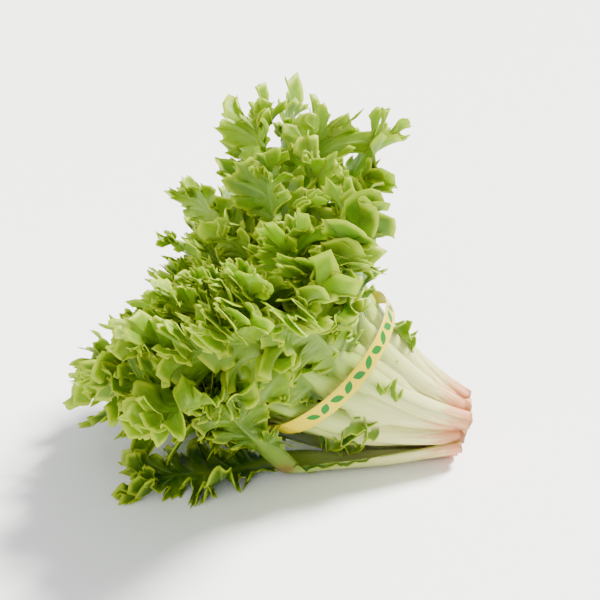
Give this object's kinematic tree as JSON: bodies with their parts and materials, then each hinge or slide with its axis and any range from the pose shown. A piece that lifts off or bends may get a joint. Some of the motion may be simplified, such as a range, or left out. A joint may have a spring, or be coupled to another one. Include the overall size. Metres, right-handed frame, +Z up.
{
  "type": "curly endive head",
  "caption": "Head of curly endive lying on its side: pale ribbed stalks grow from a cut stem, tied by a printed paper band, and spread into a crown of frilly green leaves.",
  "frame": {"origin": "on the surface that the head lies on, under the middle of its bounding box", "axes": "+Z up from the surface; +X from the crown of leaves towards the cut stem end; +Y to the side away from the bent outer stalk"},
  "size_m": [0.259, 0.2558, 0.2177],
  "materials": {
    "leaf": "soft satin leaf, bright yellow-green blade with paler veins and near-white stalk",
    "heart_leaf": "soft satin leaf, paler yellow-green blade with near-white stalk",
    "stem": "moist cut stem, cream with a browned rim",
    "band": "satin coated paper, yellow with a plain dark green leaf pattern"
  },
  "bodies": {
    "root": {"stem_core": "stem", "paper_band": "band", "outer_leaf_01": "leaf", "outer_leaf_02": "leaf", "outer_leaf_03": "leaf", "outer_leaf_04": "leaf", "outer_leaf_05": "leaf", "outer_leaf_06": "leaf", "outer_leaf_07": "leaf", "outer_leaf_08": "leaf", "outer_leaf_09": "leaf", "outer_leaf_10": "leaf", "outer_leaf_11": "leaf", "outer_leaf_12": "leaf", "outer_leaf_13": "leaf", "outer_leaf_14": "leaf", "middle_leaf_01": "leaf", "middle_leaf_02": "leaf", "middle_leaf_03": "leaf", "middle_leaf_04": "leaf", "middle_leaf_05": "leaf", "middle_leaf_06": "leaf", "middle_leaf_07": "leaf", "middle_leaf_08": "leaf", "middle_leaf_09": "leaf", "middle_leaf_10": "leaf", "middle_leaf_11": "leaf", "middle_leaf_12": "leaf", "middle_leaf_13": "leaf", "middle_leaf_14": "leaf", "inner_leaf_01": "heart_leaf", "inner_leaf_02": "heart_leaf", "inner_leaf_03": "heart_leaf", "inner_leaf_04": "heart_leaf", "inner_leaf_05": "heart_leaf", "inner_leaf_06": "heart_leaf", "inner_leaf_07": "heart_leaf", "inner_leaf_08": "heart_leaf", "inner_leaf_09": "heart_leaf", "inner_leaf_10": "heart_leaf", "inner_leaf_11": "heart_leaf", "inner_leaf_12": "heart_leaf", "inner_leaf_13": "heart_leaf", "inner_leaf_14": "heart_leaf", "heart_leaf_01": "heart_leaf", "heart_leaf_02": "heart_leaf", "heart_leaf_03": "heart_leaf", "heart_leaf_04": "heart_leaf", "heart_leaf_05": "heart_leaf", "heart_leaf_06": "heart_leaf", "heart_leaf_07": "heart_leaf", "heart_leaf_08": "heart_leaf", "loose_leaf_01": "leaf", "loose_leaf_02": "leaf", "loose_leaf_03": "leaf", "loose_leaf_04": "leaf", "loose_leaf_05": "leaf"}
  },
  "joints": []
}
